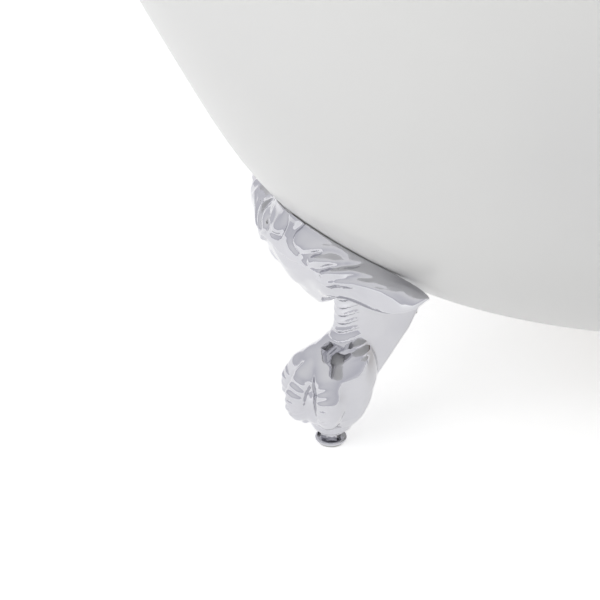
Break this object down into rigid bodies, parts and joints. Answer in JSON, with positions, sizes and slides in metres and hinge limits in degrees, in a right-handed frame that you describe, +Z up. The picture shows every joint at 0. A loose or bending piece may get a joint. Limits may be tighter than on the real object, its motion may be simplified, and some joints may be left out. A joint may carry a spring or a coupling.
{
  "type": "clawfoot bathtub",
  "caption": "Double-ended roll-top bathtub on ball-and-claw feet with screw levellers, and an exposed waste whose stopper is lifted by a knob on the overflow.",
  "frame": {"origin": "middle of the bath's plan, on the floor that the levellers stand on", "axes": "+X along the bath, +Y towards the side that carries the waste and overflow, +Z up"},
  "size_m": [1.7, 0.8195, 0.6],
  "materials": {
    "shell": "glossy white acrylic",
    "board": "laminated particle board",
    "steel": "zinc plated",
    "chrome": "polished chrome plate",
    "glide": "moulded",
    "seal": "moulded rubber",
    "plastic": "moulded",
    "waste_chrome": "chrome plated brass"
  },
  "bodies": {
    "bath": {"base_board": "board", "bracket_front_left": "steel", "bracket_front_right": "steel", "bracket_rear_left": "steel", "bracket_rear_right": "steel", "cable_guides": "plastic", "drain_flange": "waste_chrome", "drain_shoe": "waste_chrome", "drain_washer": "seal", "foot_front_left": "chrome", "foot_front_right": "chrome", "foot_nuts": "steel", "foot_rear_left": "chrome", "foot_rear_right": "chrome", "foot_washers": "steel", "lift_cable": "plastic", "lock_nuts": "chrome", "overflow_elbow": "waste_chrome", "overflow_gasket": "seal", "overflow_plate": "waste_chrome", "overflow_tube": "waste_chrome", "rocker_pin": "steel", "shoe_tube": "waste_chrome", "slip_nuts": "waste_chrome", "slip_washers": "seal", "tailpiece": "waste_chrome", "tub_shell": "shell", "waste_tee": "waste_chrome"},
    "glide_front_left": {"glide_front_left": "glide"},
    "leveller_front_left": {"leveller_front_left": "chrome"},
    "glide_front_right": {"glide_front_right": "glide"},
    "leveller_front_right": {"leveller_front_right": "chrome"},
    "glide_rear_left": {"glide_rear_left": "glide"},
    "leveller_rear_left": {"leveller_rear_left": "chrome"},
    "glide_rear_right": {"glide_rear_right": "glide"},
    "leveller_rear_right": {"leveller_rear_right": "chrome"},
    "stopper": {"stopper": "waste_chrome", "stopper_ring": "seal"},
    "knob": {"overflow_knob": "waste_chrome"},
    "rocker": {"rocker_arm": "steel"}
  },
  "joints": [
    {"name": "adjust_front_left", "type": "slide", "parent": "bath", "child": "glide_front_left", "axis": [0, 0, -1], "range_m": [0, 0.008]},
    {"name": "screw_front_left", "type": "hinge", "parent": "glide_front_left", "child": "leveller_front_left", "pos_m": [-0.565, -0.17, 0.0055], "axis": [0, 0, -1], "range_deg": [0, 1920]},
    {"name": "adjust_front_right", "type": "slide", "parent": "bath", "child": "glide_front_right", "axis": [0, 0, -1], "range_m": [0, 0.008]},
    {"name": "screw_front_right", "type": "hinge", "parent": "glide_front_right", "child": "leveller_front_right", "pos_m": [0.565, -0.17, 0.0055], "axis": [0, 0, -1], "range_deg": [0, 1920]},
    {"name": "adjust_rear_left", "type": "slide", "parent": "bath", "child": "glide_rear_left", "axis": [0, 0, -1], "range_m": [0, 0.008]},
    {"name": "screw_rear_left", "type": "hinge", "parent": "glide_rear_left", "child": "leveller_rear_left", "pos_m": [-0.565, 0.17, 0.0055], "axis": [0, 0, -1], "range_deg": [0, 1920]},
    {"name": "adjust_rear_right", "type": "slide", "parent": "bath", "child": "glide_rear_right", "axis": [0, 0, -1], "range_m": [0, 0.008]},
    {"name": "screw_rear_right", "type": "hinge", "parent": "glide_rear_right", "child": "leveller_rear_right", "pos_m": [0.565, 0.17, 0.0055], "axis": [0, 0, -1], "range_deg": [0, 1920]},
    {"name": "knob_turn", "type": "hinge", "parent": "bath", "child": "knob", "pos_m": [0, 0.357, 0.5], "axis": [0, -1, 0], "range_deg": [0, 90]},
    {"name": "stopper_lift", "type": "slide", "parent": "bath", "child": "stopper", "axis": [0, 0, 1], "range_m": [0, 0.012]},
    {"name": "rocker_turn", "type": "hinge", "parent": "bath", "child": "rocker", "pos_m": [0, 0.094, 0.054], "axis": [-1, 0, 0], "range_deg": [0, 27]}
  ],
  "couplings": [
    {"joint": "screw_front_left", "follows": "adjust_front_left", "rad_per_m": 4188.7},
    {"joint": "screw_front_right", "follows": "adjust_front_right", "rad_per_m": 4188.7},
    {"joint": "screw_rear_left", "follows": "adjust_rear_left", "rad_per_m": 4188.7},
    {"joint": "screw_rear_right", "follows": "adjust_rear_right", "rad_per_m": 4188.7},
    {"joint": "stopper_lift", "follows": "knob_turn", "m_per_rad": 0.007639},
    {"joint": "rocker_turn", "follows": "knob_turn", "ratio": 0.3}
  ]
}
